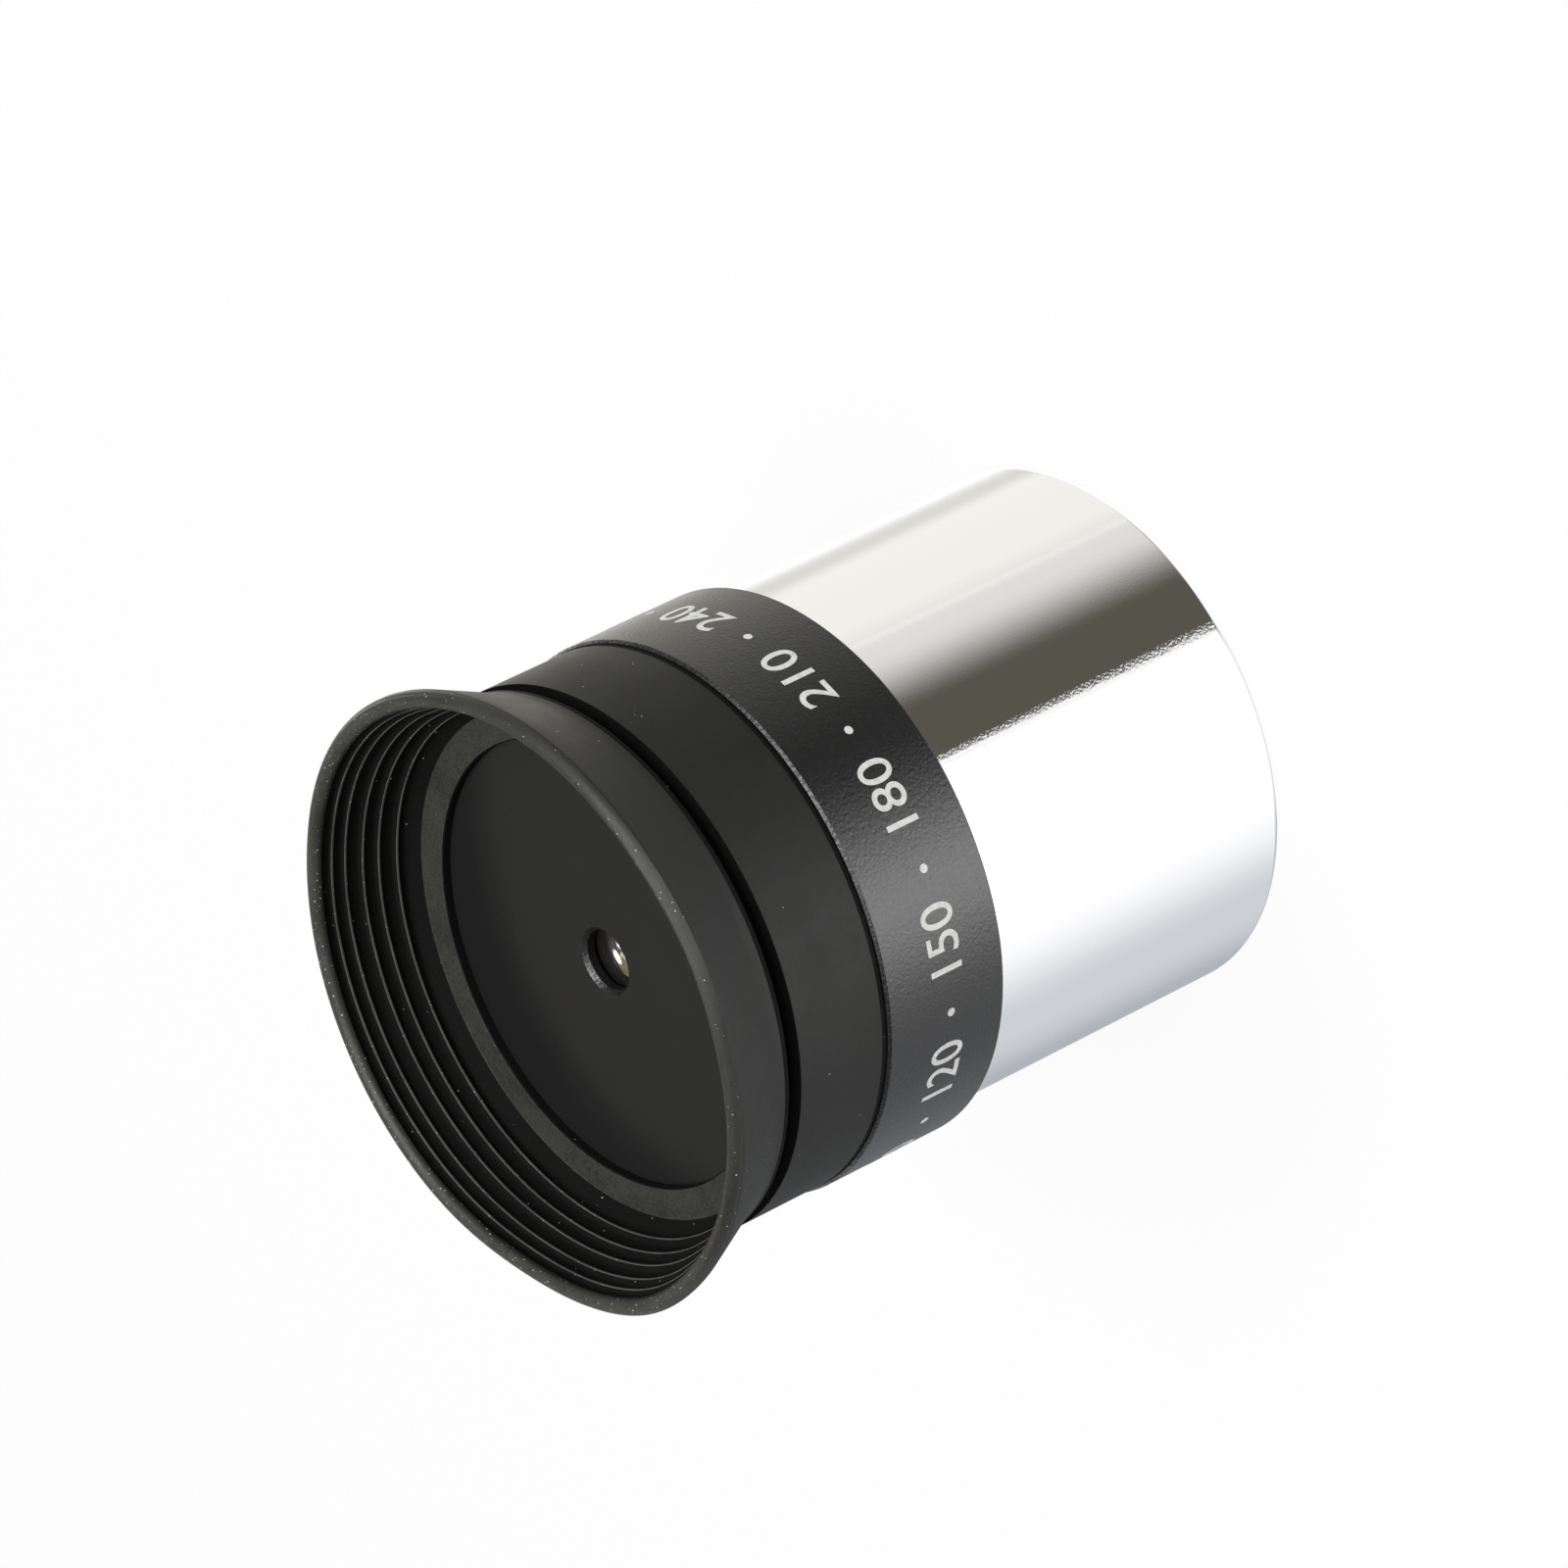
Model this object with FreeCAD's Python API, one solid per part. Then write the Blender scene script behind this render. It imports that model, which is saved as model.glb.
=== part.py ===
import FreeCAD
import Part

import math
import os

# A short-focus telescope eyepiece with a 1.25 inch push-fit barrel. All sizes
# are in millimetres. The origin is the centre of the barrel's nose, and +Z is
# the optical axis, from the telescope towards the eye.

# Barrel: a chromed tube that slides into the focuser
barrel_d = 31.75
barrel_length = 21.85
barrel_wall = 2.125
nose_outer_round = 0.45
nose_inner_chamfer = 0.3
filter_thread_depth = 0.5
filter_thread_length = 4.5
spigot_step = 0.875
spigot_length = 5.0
spigot_chamfer = 0.4

# Housing: the black turned body, with the printed ring and the eyecup's neck
ring_wall = 1.65
ring_length = 8.6
ring_rear_chamfer = 0.2
ring_front_chamfer = 0.38
neck_step = 1.7
neck_length = 6.45
neck_chamfer = 0.5
spigot_end_gap = 0.2
eye_hole_d = 3.6
eye_hole_chamfer = 0.26
eye_wall = 1.0
flange_bore_d = 18.0

# Eyecup: one rubber moulding, a sleeve on the neck and a flaring horn
sleeve_wall = 1.46
sleeve_end_round = 0.25
hinge_groove_height = 0.65
hinge_groove_depth = 0.45
bead_height = 1.6
bead_depth = 0.5
bead_offset = 2.4
seat_lip_thickness = 0.55
seat_lip_width = 1.5
horn_lift = 0.05
horn_height = 6.55
horn_flare = 1.57
horn_flank_angle = 25.0
rim_round = 0.52
root_wall = 1.41
floor_round = 0.4
rib_count = 5
rib_height = 0.3
rib_tip_width = 0.2
rib_gap_width = 0.4
rib_gap_margin = 0.06
top_gap_inset = 0.23
bottom_gap_step = 0.53

# Optics: two cemented doublets with their crowns face to face
lens_d = 5.0
lens_seat_width = 0.3
outer_radius = 12.0
cemented_radius = 3.6
flint_edge = 1.7
crown_edge = 0.64
vertex_gap = 0.3
back_focus = 1.15

# Lens cell: a flanged tube that carries the glass, held by a lock ring
cell_wall = 1.7
cell_lip_thickness = 0.35
cell_nose_length = 4.8
cell_flange_thickness = 1.2
cell_thread_step = 0.7
cell_tail = 0.6
cell_chamfer = 0.2
glass_shoulder = 0.35
retainer_thickness = 0.9
stop_aperture_d = 3.36
stop_wall = 0.57
stop_web = 0.25
stop_tail = 0.7
slot_width = 0.6
slot_depth = 0.3
lock_ring_thickness = 1.6
lock_ring_width = 3.8
lock_slot_width = 1.2
lock_slot_depth = 0.8

# Clearances between pieces that fit into each other, on the radius or the end
thread_clearance = 0.03
barrel_thread_clearance = 0.05
sleeve_clearance = 0.05
bead_clearance = 0.1
cell_clearance = 0.03
cell_end_gap = 0.1
glass_clearance = 0.02

# Radii and heights that several pieces share, from the nose towards the eye
barrel = barrel_d / 2
spigot = barrel - spigot_step
recess = spigot + barrel_thread_clearance
ring = recess + ring_wall
neck = ring - neck_step
flange_bore = flange_bore_d / 2
lens = lens_d / 2
clear = lens - lens_seat_width
cell = lens + cell_wall
cell_thread = lens + cell_thread_step
shoulder_z = barrel_length
ring_front_z = shoulder_z + ring_length
face_z = ring_front_z + neck_length
recess_end_z = shoulder_z + spigot_length + spigot_end_gap
bead_z = ring_front_z + bead_offset
cell_top_z = face_z - eye_wall - cell_end_gap
flange_seat_z = cell_top_z - cell_nose_length
flange_rear_z = flange_seat_z - cell_flange_thickness


def sag(radius, distance):
    """Depth of a spherical surface at a distance from its vertex's axis."""
    return radius - math.sqrt(radius ** 2 - distance ** 2)


class Section:
    """A closed half-section in the XZ plane, drawn edge by edge."""

    def __init__(self, radius, height):
        self.start = FreeCAD.Vector(radius, 0, height)
        self.here = self.start
        self.edges = []

    def line(self, radius, height):
        end = FreeCAD.Vector(radius, 0, height)
        self.edges.append(Part.LineSegment(self.here, end).toShape())
        self.here = end

    def arc(self, through, end):
        middle = FreeCAD.Vector(through[0], 0, through[1])
        last = FreeCAD.Vector(end[0], 0, end[1])
        self.edges.append(Part.Arc(self.here, middle, last).toShape())
        self.here = last

    def turned(self):
        """The solid that this section gives when it is turned about Z."""
        self.line(self.start.x, self.start.z)
        face = Part.Face(Part.Wire(self.edges))
        return face.revolve(FreeCAD.Vector(0, 0, 0), FreeCAD.Vector(0, 0, 1), 360)


def on_circle(centre, radius, degrees):
    """The point of a circle in the section plane at an angle from +X."""
    turn = math.radians(degrees)
    return centre[0] + radius * math.cos(turn), centre[1] + radius * math.sin(turn)


def slotted(ring_solid, outer, rear_z, width, depth):
    """A ring with one spanner slot across its rear face."""
    corner = FreeCAD.Vector(-outer, -width / 2, rear_z)
    return ring_solid.cut(Part.makeBox(2 * outer, width, depth, corner))


def make_barrel():
    bore = barrel - barrel_wall
    thread = bore + filter_thread_depth
    end_z = shoulder_z + spigot_length
    section = Section(thread + nose_inner_chamfer, 0)
    section.line(barrel - nose_outer_round, 0)
    centre = (barrel - nose_outer_round, nose_outer_round)
    section.arc(on_circle(centre, nose_outer_round, -45), (barrel, nose_outer_round))
    section.line(barrel, shoulder_z)
    section.line(spigot, shoulder_z)
    section.line(spigot, end_z - spigot_chamfer)
    section.line(spigot - spigot_chamfer, end_z)
    section.line(bore, end_z)
    section.line(bore, filter_thread_length)
    section.line(thread, filter_thread_length)
    section.line(thread, nose_inner_chamfer)
    return section.turned()


def make_housing():
    hole = eye_hole_d / 2
    cell_bore = cell + cell_clearance
    groove = neck - bead_depth
    groove_half = bead_height / 2 + bead_clearance
    section = Section(recess, shoulder_z)
    section.line(ring - ring_rear_chamfer, shoulder_z)
    section.line(ring, shoulder_z + ring_rear_chamfer)
    section.line(ring, ring_front_z - ring_front_chamfer)
    section.line(ring - ring_front_chamfer, ring_front_z)
    section.line(neck, ring_front_z)
    section.line(neck, bead_z - groove_half)
    section.line(groove, bead_z - groove_half + bead_depth)
    section.line(groove, bead_z + groove_half - bead_depth)
    section.line(neck, bead_z + groove_half)
    section.line(neck, face_z - neck_chamfer)
    section.line(neck - neck_chamfer, face_z)
    section.line(hole + eye_hole_chamfer, face_z)
    section.line(hole, face_z - eye_hole_chamfer)
    section.line(hole, face_z - eye_wall)
    section.line(cell_bore, face_z - eye_wall)
    section.line(cell_bore, flange_seat_z)
    section.line(flange_bore, flange_seat_z)
    section.line(flange_bore, recess_end_z)
    section.line(recess, recess_end_z)
    return section.turned()


def make_eyecup():
    inner = neck + sleeve_clearance
    outer = inner + sleeve_wall
    bead = inner - bead_depth
    bead_half = bead_height / 2
    horn_z = face_z + horn_lift
    groove_z = horn_z - hinge_groove_height
    floor = outer - root_wall
    floor_z = face_z + seat_lip_thickness

    section = Section(inner, ring_front_z)
    section.line(outer - sleeve_end_round, ring_front_z)
    corner = (outer - sleeve_end_round, ring_front_z + sleeve_end_round)
    section.arc(on_circle(corner, sleeve_end_round, -45), (outer, corner[1]))

    # The groove that the horn folds back at
    quarter = hinge_groove_height / 4
    section.line(outer, groove_z)
    section.line(outer - hinge_groove_depth, groove_z + quarter)
    section.line(outer - hinge_groove_depth, horn_z - quarter)
    section.line(outer, horn_z)

    # The flare is an arc that starts along the axis and ends on the flank,
    # which is tangent to the rim's round
    rim = (outer + horn_flare, horn_z + horn_height - rim_round)
    flank_end = on_circle(rim, rim_round, -horn_flank_angle)
    slope = math.radians(horn_flank_angle)
    rise = flank_end[1] - horn_z
    run = flank_end[0] - outer
    flare = (math.tan(slope) * rise - run) / (1 / math.cos(slope) - 1)
    centre = (outer + flare, horn_z)
    section.arc(on_circle(centre, flare, 180 - horn_flank_angle / 2),
                on_circle(centre, flare, 180 - horn_flank_angle))
    section.line(*flank_end)
    section.arc(on_circle(rim, rim_round, 90), on_circle(rim, rim_round, 180))

    # Ribs stand inwards between the gaps, which step down from rim to floor
    top_gap = (rim[0] - top_gap_inset, rim[1] - rib_gap_margin)
    bottom_gap = (floor + floor_round + bottom_gap_step,
                  floor_z + floor_round + rib_gap_margin + rib_gap_width)
    for number in range(rib_count + 1):
        share = number / rib_count
        gap = top_gap[0] + share * (bottom_gap[0] - top_gap[0])
        gap_z = top_gap[1] + share * (bottom_gap[1] - top_gap[1])
        if number > 0:
            tip = (gap + last_gap) / 2 - rib_height
            tip_z = (gap_z + last_gap_z - rib_gap_width) / 2
            section.line(tip, tip_z + rib_tip_width / 2)
            section.line(tip, tip_z - rib_tip_width / 2)
        section.line(gap, gap_z)
        section.line(gap, gap_z - rib_gap_width)
        last_gap, last_gap_z = gap, gap_z

    # The floor is a flat lip on the housing's front face, rounded up to the wall
    bend = (floor, floor_z + floor_round)
    section.line(floor + floor_round, bend[1])
    section.arc(on_circle(bend, floor_round, -45), (floor, floor_z))
    section.line(floor - seat_lip_width, floor_z)
    section.line(floor - seat_lip_width, face_z)
    section.line(inner, face_z)

    # A bead inside the sleeve snaps into the neck's groove
    section.line(inner, bead_z + bead_half)
    section.line(bead, bead_z + bead_half - bead_depth)
    section.line(bead, bead_z - bead_half + bead_depth)
    section.line(inner, bead_z - bead_half)
    return section.turned()


# Heights of the glass, worked out from the cell's lip downwards
glass_seat_z = cell_top_z - cell_lip_thickness
eye_vertex_z = glass_seat_z + sag(outer_radius, clear)
crown_top_z = glass_seat_z - flint_edge
eye_cement_z = crown_top_z + sag(cemented_radius, lens)
crown_seat_z = crown_top_z - crown_edge
eye_inner_z = crown_seat_z - sag(cemented_radius, clear)
middle_z = eye_inner_z - vertex_gap / 2
glass_rear_z = 2 * middle_z - glass_seat_z
field_vertex_z = 2 * middle_z - eye_vertex_z
retainer_rear_z = glass_rear_z - retainer_thickness
stop_z = field_vertex_z - back_focus
stop_rear_z = stop_z - stop_web - stop_tail
cell_rear_z = stop_rear_z - cell_tail


def mirrored(solid):
    """The same piece of the other doublet, which faces the first."""
    return solid.mirror(FreeCAD.Vector(0, 0, middle_z), FreeCAD.Vector(0, 0, 1))


def make_eye_flint():
    section = Section(0, eye_vertex_z)
    section.arc((clear / 2, eye_vertex_z - sag(outer_radius, clear / 2)),
                (clear, glass_seat_z))
    section.line(lens, glass_seat_z)
    section.line(lens, crown_top_z)
    section.arc((lens / 2, eye_cement_z - sag(cemented_radius, lens / 2)),
                (0, eye_cement_z))
    return section.turned()


def make_eye_crown():
    section = Section(0, eye_cement_z)
    section.arc((lens / 2, eye_cement_z - sag(cemented_radius, lens / 2)),
                (lens, crown_top_z))
    section.line(lens, crown_seat_z)
    section.line(clear, crown_seat_z)
    section.arc((clear / 2, eye_inner_z + sag(cemented_radius, clear / 2)),
                (0, eye_inner_z))
    return section.turned()


def make_lens_spacer():
    section = Section(clear, crown_seat_z)
    section.line(lens, crown_seat_z)
    section.line(lens, 2 * middle_z - crown_seat_z)
    section.line(clear, 2 * middle_z - crown_seat_z)
    return section.turned()


def make_lens_cell():
    bore = lens + glass_clearance
    flange = flange_bore - cell_clearance
    section = Section(clear, cell_top_z)
    section.line(cell - cell_chamfer, cell_top_z)
    section.line(cell, cell_top_z - cell_chamfer)
    section.line(cell, flange_seat_z)
    section.line(flange, flange_seat_z)
    section.line(flange, flange_rear_z)
    section.line(cell, flange_rear_z)
    section.line(cell, cell_rear_z + cell_chamfer)
    section.line(cell - cell_chamfer, cell_rear_z)
    section.line(cell_thread + cell_chamfer, cell_rear_z)
    section.line(cell_thread, cell_rear_z + cell_chamfer)
    section.line(cell_thread, glass_rear_z + glass_shoulder)
    section.line(bore, glass_rear_z + glass_shoulder)
    section.line(bore, glass_seat_z)
    section.line(clear, glass_seat_z)
    return section.turned()


def make_lens_retainer():
    outer = cell_thread - thread_clearance
    section = Section(clear, glass_rear_z)
    section.line(outer, glass_rear_z)
    section.line(outer, retainer_rear_z)
    section.line(clear, retainer_rear_z)
    return slotted(section.turned(), outer, retainer_rear_z, slot_width, slot_depth)


def make_field_stop():
    outer = cell_thread - thread_clearance
    bore = outer - stop_wall
    aperture = stop_aperture_d / 2
    section = Section(aperture, stop_z)
    section.line(bore, stop_z)
    section.line(bore, retainer_rear_z)
    section.line(outer, retainer_rear_z)
    section.line(outer, stop_rear_z)
    section.line(bore, stop_rear_z)
    section.line(bore, stop_z - stop_web)
    section.line(aperture + stop_web, stop_z - stop_web)
    return slotted(section.turned(), outer, stop_rear_z, slot_width, slot_depth)


def make_cell_lock_ring():
    outer = flange_bore - thread_clearance
    bore = flange_bore - lock_ring_width
    rear_z = flange_rear_z - lock_ring_thickness
    section = Section(bore, flange_rear_z)
    section.line(outer, flange_rear_z)
    section.line(outer, rear_z)
    section.line(bore, rear_z)
    return slotted(section.turned(), outer, rear_z, lock_slot_width, lock_slot_depth)


eye_flint = make_eye_flint()
eye_crown = make_eye_crown()

pieces = {
    "barrel": make_barrel(),
    "housing": make_housing(),
    "eyecup": make_eyecup(),
    "lens_cell": make_lens_cell(),
    "eye_flint_lens": eye_flint,
    "eye_crown_lens": eye_crown,
    "lens_spacer": make_lens_spacer(),
    "field_crown_lens": mirrored(eye_crown),
    "field_flint_lens": mirrored(eye_flint),
    "lens_retainer": make_lens_retainer(),
    "field_stop": make_field_stop(),
    "cell_lock_ring": make_cell_lock_ring(),
}

os.makedirs("parts", exist_ok=True)
for name, shape in pieces.items():
    shape.exportStep(os.path.join("parts", name + ".step"))
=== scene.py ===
import math

import bmesh
import bpy
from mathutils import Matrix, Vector


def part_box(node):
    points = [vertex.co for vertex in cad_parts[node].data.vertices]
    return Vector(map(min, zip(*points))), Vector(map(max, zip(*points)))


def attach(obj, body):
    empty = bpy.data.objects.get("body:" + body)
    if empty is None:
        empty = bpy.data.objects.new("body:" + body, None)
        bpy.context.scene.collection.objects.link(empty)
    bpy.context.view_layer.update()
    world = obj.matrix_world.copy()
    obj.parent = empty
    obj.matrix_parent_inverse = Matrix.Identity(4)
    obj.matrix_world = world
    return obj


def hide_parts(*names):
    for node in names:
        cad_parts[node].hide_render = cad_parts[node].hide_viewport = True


# A telescope eyepiece that stands on its barrel's nose. The origin is the centre of the nose, +Z is the
# optical axis towards the eye, and sizes are worked out in millimetres and placed in metres.
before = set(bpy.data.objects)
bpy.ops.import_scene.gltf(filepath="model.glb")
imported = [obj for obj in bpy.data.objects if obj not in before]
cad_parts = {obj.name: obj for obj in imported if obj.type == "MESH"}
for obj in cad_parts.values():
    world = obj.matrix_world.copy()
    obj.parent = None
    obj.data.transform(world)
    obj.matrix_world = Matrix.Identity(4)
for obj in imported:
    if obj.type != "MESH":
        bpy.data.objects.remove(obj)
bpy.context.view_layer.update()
MM = 0.001


# Barrel: a brass tube that slides into the focuser, turned from bar, its nose rounded over and threaded
# inside for a filter. Outside it is polished and plated with bright chrome, and its bore is blackened.
barrel_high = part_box("barrel")[1]
housing_low, housing_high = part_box("housing")
barrel_r = barrel_high.x / MM
barrel_end = barrel_high.z / MM
shoulder = housing_low.z / MM
barrel_wall = 2.125
bore_r = barrel_r - barrel_wall
spigot_step = 0.875
spigot_r = barrel_r - spigot_step
spigot_chamfer = 0.4
nose_round = 0.45
nose_chamfer = 0.3
edge_break = 0.05
thread_relief = 0.5
thread_r = bore_r + thread_relief
thread_end = 4.5
thread_pitch = 0.6
thread_depth = 0.3
# The flat crest and one flank of the thread, as shares of its pitch
thread_crest = 0.3
thread_flank = 0.25
rows_per_pitch = 10
# Points round the axis, degrees between the points of a fillet, the most of a side that a fillet may
# take, and the angle from which an edge counts as sharp
around = 288
arc_step = 15
side_share = 0.49
sharp_angle = math.radians(31)


def rounded(corners):
    """Points of a section whose corners are (radius, height, fillet, coat), the fillets as arcs."""
    points = []
    for number, (radius, height, fillet, coat) in enumerate(corners):
        here = Vector((radius, height))
        to_last = Vector(corners[number - 1][:2]) - here
        to_next = Vector(corners[(number + 1) % len(corners)][:2]) - here
        if fillet == 0:
            points.append((radius, height, coat))
            continue
        half = to_last.angle(to_next) / 2
        reach = min(fillet / math.tan(half), side_share * to_last.length, side_share * to_next.length)
        fillet = reach * math.tan(half)
        bisector = (to_last.normalized() + to_next.normalized()).normalized()
        centre = here + bisector * fillet / math.sin(half)
        first = here + to_last.normalized() * reach - centre
        last = here + to_next.normalized() * reach - centre
        sweep = first.angle_signed(last)
        steps = max(2, round(abs(math.degrees(sweep)) / arc_step))
        for step in range(steps + 1):
            turn = -sweep * step / steps
            x = first.x * math.cos(turn) - first.y * math.sin(turn)
            y = first.x * math.sin(turn) + first.y * math.cos(turn)
            points.append((centre.x + x, centre.y + y, coat))
    return points


def turned(name, section, coats, shape=None, closed=True):
    """A mesh turned about the optical axis from a section of (radius, height, coat) in millimetres.
    shape moves a point (radius, height, turn) to its final radius and height."""
    vertices, rings, faces, face_coats = [], [], [], []
    for radius, height, _ in section:
        ring = []
        for step in range(around if radius > 0 else 1):
            turn = 2 * math.pi * step / around
            r, z = shape(radius, height, turn) if shape else (radius, height)
            ring.append(len(vertices))
            vertices.append((r * math.cos(turn) * MM, r * math.sin(turn) * MM, z * MM))
        rings.append(ring)
    pairs = len(section) if closed else len(section) - 1
    for number in range(pairs):
        lower, upper = rings[number], rings[(number + 1) % len(rings)]
        for step in range(around):
            after = (step + 1) % around
            corners = [lower[step % len(lower)], lower[after % len(lower)],
                       upper[after % len(upper)], upper[step % len(upper)]]
            faces.append(list(dict.fromkeys(corners)))
            face_coats.append(section[number][2])
    mesh = bpy.data.meshes.new(name)
    mesh.from_pydata(vertices, [], faces)
    mesh.polygons.foreach_set("material_index", face_coats)
    for coat in coats:
        mesh.materials.append(coat)
    made = bpy.data.objects.new(name, mesh)
    bpy.context.scene.collection.objects.link(made)
    solid = bmesh.new()
    solid.from_mesh(mesh)
    bmesh.ops.recalc_face_normals(solid, faces=solid.faces)
    solid.to_mesh(mesh)
    solid.free()
    mesh.shade_smooth()
    mesh.set_sharp_from_angle(angle=sharp_angle)
    made.modifiers.new("even_flats", "WEIGHTED_NORMAL").keep_sharp = True
    return made


def linear(code):
    """An sRGB hex colour as linear red, green, blue and alpha."""
    values = [int(code[at:at + 2], 16) / 255 for at in (1, 3, 5)]
    return tuple(v / 12.92 if v <= 0.04045 else ((v + 0.055) / 1.055) ** 2.4 for v in values) + (1.0,)


def node(tree, kind, inputs=None, stops=None, **settings):
    """Adds a node. inputs gives a socket a value or another node's output, stops are a ramp's."""
    made = tree.nodes.new("ShaderNode" + kind)
    for name, value in settings.items():
        setattr(made, name, value)
    for socket, value in (inputs or {}).items():
        if isinstance(value, bpy.types.NodeSocket):
            tree.links.new(value, made.inputs[socket])
        else:
            made.inputs[socket].default_value = value
    if stops:
        elements = made.color_ramp.elements
        while len(elements) < len(stops):
            elements.new(0.5)
        for element, (position, colour) in zip(elements, stops):
            element.position = position
            element.color = colour
    return made


def surface(name):
    """A new material: itself, its tree, its shader, and each point's place in millimetres."""
    made = bpy.data.materials.new(name)
    made.use_nodes = True
    tree = made.node_tree
    shader = tree.nodes["Principled BSDF"]
    where = node(tree, "TexCoord").outputs["Object"]
    place = node(tree, "VectorMath", {0: where, "Scale": 1 / MM}, operation="SCALE").outputs[0]
    return made, tree, shader, place


# Bright chrome plate on polished brass: a mirror that is a little grey, with faint lapping marks and
# fine pits, drawn coarser than they are, that break up the sharp edges in its reflections
chrome, tree, shader, place = surface("bright_chrome_plate")
plate_grey = "#e9e9ea"
clearest, haziest = 0.035, 0.075
lap_length = 9.0
lap_height = 0.0012
pit_size = 0.16
pit_depth = 0.0012
nose_pit_depth = 0.002
worn_below, worn_most_at = 14.0, 2.0
scuff_turn = math.radians(-81.9)
scuff_depth = 0.01
scuff_near_nose, scuff_near_ring = 0.032, 0.011
scuff_nose_z, scuff_ring_z = 2.0, 20.0
shader.inputs["Base Color"].default_value = linear(plate_grey)
shader.inputs["Metallic"].default_value = 1.0
lap = node(tree, "TexNoise", {"Vector": place, "Scale": 1 / lap_length, "Detail": 3.0})
haze = node(tree, "MapRange", {"Value": lap.outputs[0], "To Min": clearest, "To Max": haziest})
tree.links.new(haze.outputs[0], shader.inputs["Roughness"])
wave = node(tree, "Bump", {"Height": lap.outputs[0], "Distance": lap_height * MM})
pits = node(tree, "TexNoise", {"Vector": place, "Scale": 1 / pit_size, "Detail": 2.0})
# Sliding in and out of focusers has roughened the tube towards its nose
along = node(tree, "SeparateXYZ", {0: place})
depth = node(tree, "MapRange", {"Value": along.outputs[2],
                                "From Min": worn_below, "From Max": worn_most_at,
                                "To Min": pit_depth * MM, "To Max": nose_pit_depth * MM})
# A thumbscrew has dragged a fine scuffed line along the tube, wider towards the nose. Its place round the
# tube and half its width are in radians.
turn_at = node(tree, "Math", {0: along.outputs[1], 1: along.outputs[0]}, operation="ARCTAN2")
off_line = node(tree, "Math", {0: turn_at.outputs[0], 1: scuff_turn}, operation="SUBTRACT")
off_line = node(tree, "Math", {0: off_line.outputs[0]}, operation="ABSOLUTE")
half_width = node(tree, "MapRange", {"Value": along.outputs[2],
                                     "From Min": scuff_nose_z, "From Max": scuff_ring_z,
                                     "To Min": scuff_near_nose, "To Max": scuff_near_ring})
scuff = node(tree, "MapRange", {"Value": off_line.outputs[0],
                                "From Min": 0.0, "From Max": half_width.outputs[0],
                                "To Min": scuff_depth * MM, "To Max": 0.0})
depth = node(tree, "Math", {0: depth.outputs[0], 1: scuff.outputs[0]}, operation="ADD")
pitted = node(tree, "Bump", {"Height": pits.outputs[0], "Distance": depth.outputs[0],
                             "Normal": wave.outputs[0]})
tree.links.new(pitted.outputs[0], shader.inputs["Normal"])

# Blackening in the bore: a thin matt coat that stops stray light
bore_black, tree, shader, place = surface("chemically_blackened_brass")
grit = 0.12
grit_height = 0.01
shader.inputs["Base Color"].default_value = linear("#17171a")
shader.inputs["Roughness"].default_value = 0.62
speck = node(tree, "TexNoise", {"Vector": place, "Scale": 1 / grit, "Detail": 2.0})
rough = node(tree, "Bump", {"Height": speck.outputs[0], "Distance": grit_height * MM, "Strength": 0.5})
tree.links.new(rough.outputs[0], shader.inputs["Normal"])

CHROME, BLACK = 0, 1
tube = [(barrel_r, 0, nose_round, CHROME), (barrel_r, shoulder, 0, CHROME),
        (spigot_r, shoulder, 0, CHROME), (spigot_r, barrel_end - spigot_chamfer, 0, CHROME),
        (spigot_r - spigot_chamfer, barrel_end, 0, BLACK), (bore_r, barrel_end, edge_break, BLACK),
        (bore_r, thread_end, edge_break, BLACK), (thread_r, thread_end, 0, BLACK)]
thread_rows = round((thread_end - nose_chamfer) / thread_pitch * rows_per_pitch)
for row in range(1, thread_rows):
    height = thread_end + (nose_chamfer - thread_end) * row / thread_rows
    tube.append((thread_r, height, 0, BLACK))
tube += [(thread_r, nose_chamfer, 0, CHROME), (thread_r + nose_chamfer, 0, edge_break, CHROME)]


def filter_thread(radius, height, turn):
    """A helical ridge on the wall between the nose's chamfer and the thread's end, which fades out over a
    pitch at both ends."""
    if radius != thread_r or not nose_chamfer < height < thread_end:
        return radius, height
    phase = (height / thread_pitch - turn / (2 * math.pi)) % 1
    ridge = min(1, max(0, (thread_crest / 2 + thread_flank - abs(phase - 0.5)) / thread_flank))
    run_out = min(1, (height - nose_chamfer) / thread_pitch, (thread_end - height) / thread_pitch)
    return radius - thread_depth * ridge * run_out, height


barrel = turned("barrel_tube", rounded(tube), [chrome, bore_black], filter_thread)
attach(barrel, "root")
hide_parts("barrel")


# Housing: one turned aluminium body. The ring at its rear is bead blasted before it is anodised black,
# which leaves a fine pebbled satin. The neck under the rubber and the front face are anodised as turned.
ring_r = housing_high.x / MM
face_lowered = 0.16
face = housing_high.z / MM - face_lowered
spigot_gap = 0.05
recess_r = spigot_r + spigot_gap
recess_relief = 0.2
recess_end = barrel_end + recess_relief
ring_step = 1.7
neck_r = ring_r - ring_step
cup_low, cup_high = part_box("eyecup")
ring_front = cup_low.z / MM
rear_chamfer = 0.2
front_chamfer = 0.17
# The groove round the neck that the bead inside the rubber sleeve snaps into
bead_up = 2.4
bead_z = ring_front + bead_up
bead_half = 0.9
bead_depth = 0.5
neck_chamfer = 0.5
hole_r = 1.8
hole_chamfer = 0.26
eye_wall = 0.78
cut_break = 0.03
cell_r = 4.23
flange_r = 9.0
cell_above_flange = 4.8
flange_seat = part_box("lens_cell")[1].z / MM - cell_above_flange

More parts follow.
